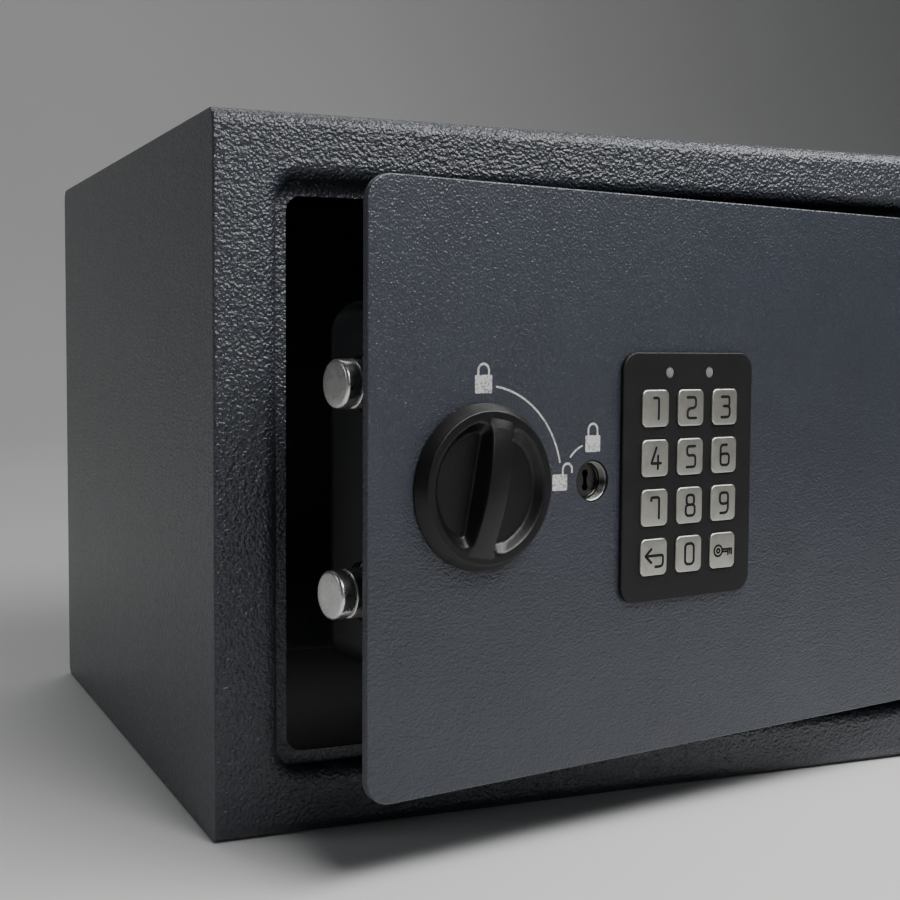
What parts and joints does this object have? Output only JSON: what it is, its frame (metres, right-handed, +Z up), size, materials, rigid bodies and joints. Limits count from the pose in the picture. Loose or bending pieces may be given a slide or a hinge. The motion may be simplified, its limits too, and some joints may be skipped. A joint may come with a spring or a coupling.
{
  "type": "in-room electronic safe",
  "caption": "Steel in-room safe with a hinged door standing ajar, knob-driven locking bolts, an electronic keypad, an override key lock and a felt floor mat.",
  "frame": {"origin": "centre of the cabinet's footprint, on the surface it stands on", "axes": "+X to the right along the front, +Y from the front to the back, +Z up; the door and keypad face -Y"},
  "size_m": [0.35, 0.3619, 0.25],
  "materials": {
    "cabinet_paint": "textured powder coat",
    "door_paint": "textured powder coat",
    "bolt_steel": "satin nickel plate",
    "lock_chrome": "nickel plate",
    "plated_steel": "zinc plated",
    "knob_plastic": "satin",
    "keypad_plastic": "matte",
    "case_plastic": "satin",
    "key_silver": "satin",
    "lens_grey": "frosted",
    "membrane_rubber": "matte",
    "board_green": "solder resist",
    "white_nylon": "satin",
    "coil_copper": "enamelled wire",
    "cell_wrap": "printed sleeve",
    "red_plastic": "satin",
    "mat_felt": "needle felt"
  },
  "bodies": {
    "cabinet": {"cabinet_wrap": "cabinet_paint", "left_side_panel": "cabinet_paint", "right_side_panel": "cabinet_paint", "door_stop_frame": "cabinet_paint", "hinge_pins": "plated_steel", "hinge_washers": "white_nylon", "floor_mat": "mat_felt"},
    "door": {"door_plate": "door_paint", "hinge_brackets": "door_paint", "door_posts": "plated_steel", "lock_chassis": "plated_steel", "bolt_bushes": "white_nylon", "spindle_bush": "white_nylon", "keylock_housing": "lock_chrome", "keypad_bezel": "keypad_plastic", "keypad_membrane": "membrane_rubber", "keypad_board": "board_green", "indicator_lenses": "lens_grey", "lock_case": "case_plastic", "case_screws": "plated_steel", "chassis_nuts": "plated_steel", "battery_tray": "case_plastic", "batteries": "cell_wrap", "battery_lid": "case_plastic", "main_board": "board_green", "board_posts": "white_nylon", "solenoid_frame": "plated_steel", "solenoid_coil": "coil_copper"},
    "knob": {"knob": "knob_plastic", "knob_spindle": "plated_steel"},
    "bolt_carriage": {"bolt_carriage": "plated_steel", "locking_bolts": "bolt_steel"},
    "key_plug": {"key_plug": "lock_chrome", "key_cam": "plated_steel"},
    "solenoid_plunger": {"solenoid_plunger": "plated_steel"},
    "reset_button": {"reset_button": "red_plastic"},
    "key_1": {"key_1": "key_silver"},
    "key_2": {"key_2": "key_silver"},
    "key_3": {"key_3": "key_silver"},
    "key_4": {"key_4": "key_silver"},
    "key_5": {"key_5": "key_silver"},
    "key_6": {"key_6": "key_silver"},
    "key_7": {"key_7": "key_silver"},
    "key_8": {"key_8": "key_silver"},
    "key_9": {"key_9": "key_silver"},
    "key_return": {"key_return": "key_silver"},
    "key_0": {"key_0": "key_silver"},
    "key_unlock": {"key_unlock": "key_silver"}
  },
  "joints": [
    {"name": "door_hinge", "type": "hinge", "parent": "cabinet", "child": "door", "pos_m": [0.1406, -0.1415, 0.125], "axis": [0, 0, 1], "range_deg": [-12.3, 97.7]},
    {"name": "knob_turn", "type": "hinge", "parent": "door", "child": "knob", "pos_m": [-0.09952, -0.20204, 0.125], "axis": [-0.213, 0.977, 0], "range_deg": [-11, 79]},
    {"name": "bolt_slide", "type": "slide", "parent": "door", "child": "bolt_carriage", "axis": [0.977, 0.213, 0], "range_m": [-0.00122, 0.00877]},
    {"name": "key_turn", "type": "hinge", "parent": "door", "child": "key_plug", "pos_m": [-0.05379, -0.19207, 0.125], "axis": [-0.213, 0.977, 0], "range_deg": [0, 90]},
    {"name": "plunger_lift", "type": "slide", "parent": "door", "child": "solenoid_plunger", "axis": [0, 0, 1], "range_m": [0, 0.004], "stiffness_N_per_m": 150, "springref_m": -0.002},
    {"name": "reset_press", "type": "slide", "parent": "door", "child": "reset_button", "axis": [0.213, -0.977, 0], "range_m": [0, 0.0012], "stiffness_N_per_m": 500, "springref_m": -0.001},
    {"name": "key_1_press", "type": "slide", "parent": "door", "child": "key_1", "axis": [-0.213, 0.977, 0], "range_m": [0, 0.0008], "stiffness_N_per_m": 800, "springref_m": -0.0004},
    {"name": "key_2_press", "type": "slide", "parent": "door", "child": "key_2", "axis": [-0.213, 0.977, 0], "range_m": [0, 0.0008], "stiffness_N_per_m": 800, "springref_m": -0.0004},
    {"name": "key_3_press", "type": "slide", "parent": "door", "child": "key_3", "axis": [-0.213, 0.977, 0], "range_m": [0, 0.0008], "stiffness_N_per_m": 800, "springref_m": -0.0004},
    {"name": "key_4_press", "type": "slide", "parent": "door", "child": "key_4", "axis": [-0.213, 0.977, 0], "range_m": [0, 0.0008], "stiffness_N_per_m": 800, "springref_m": -0.0004},
    {"name": "key_5_press", "type": "slide", "parent": "door", "child": "key_5", "axis": [-0.213, 0.977, 0], "range_m": [0, 0.0008], "stiffness_N_per_m": 800, "springref_m": -0.0004},
    {"name": "key_6_press", "type": "slide", "parent": "door", "child": "key_6", "axis": [-0.213, 0.977, 0], "range_m": [0, 0.0008], "stiffness_N_per_m": 800, "springref_m": -0.0004},
    {"name": "key_7_press", "type": "slide", "parent": "door", "child": "key_7", "axis": [-0.213, 0.977, 0], "range_m": [0, 0.0008], "stiffness_N_per_m": 800, "springref_m": -0.0004},
    {"name": "key_8_press", "type": "slide", "parent": "door", "child": "key_8", "axis": [-0.213, 0.977, 0], "range_m": [0, 0.0008], "stiffness_N_per_m": 800, "springref_m": -0.0004},
    {"name": "key_9_press", "type": "slide", "parent": "door", "child": "key_9", "axis": [-0.213, 0.977, 0], "range_m": [0, 0.0008], "stiffness_N_per_m": 800, "springref_m": -0.0004},
    {"name": "key_return_press", "type": "slide", "parent": "door", "child": "key_return", "axis": [-0.213, 0.977, 0], "range_m": [0, 0.0008], "stiffness_N_per_m": 800, "springref_m": -0.0004},
    {"name": "key_0_press", "type": "slide", "parent": "door", "child": "key_0", "axis": [-0.213, 0.977, 0], "range_m": [0, 0.0008], "stiffness_N_per_m": 800, "springref_m": -0.0004},
    {"name": "key_unlock_press", "type": "slide", "parent": "door", "child": "key_unlock", "axis": [-0.213, 0.977, 0], "range_m": [0, 0.0008], "stiffness_N_per_m": 800, "springref_m": -0.0004}
  ],
  "couplings": [
    {"joint": "knob_turn", "follows": "bolt_slide", "rad_per_m": 157.08}
  ]
}
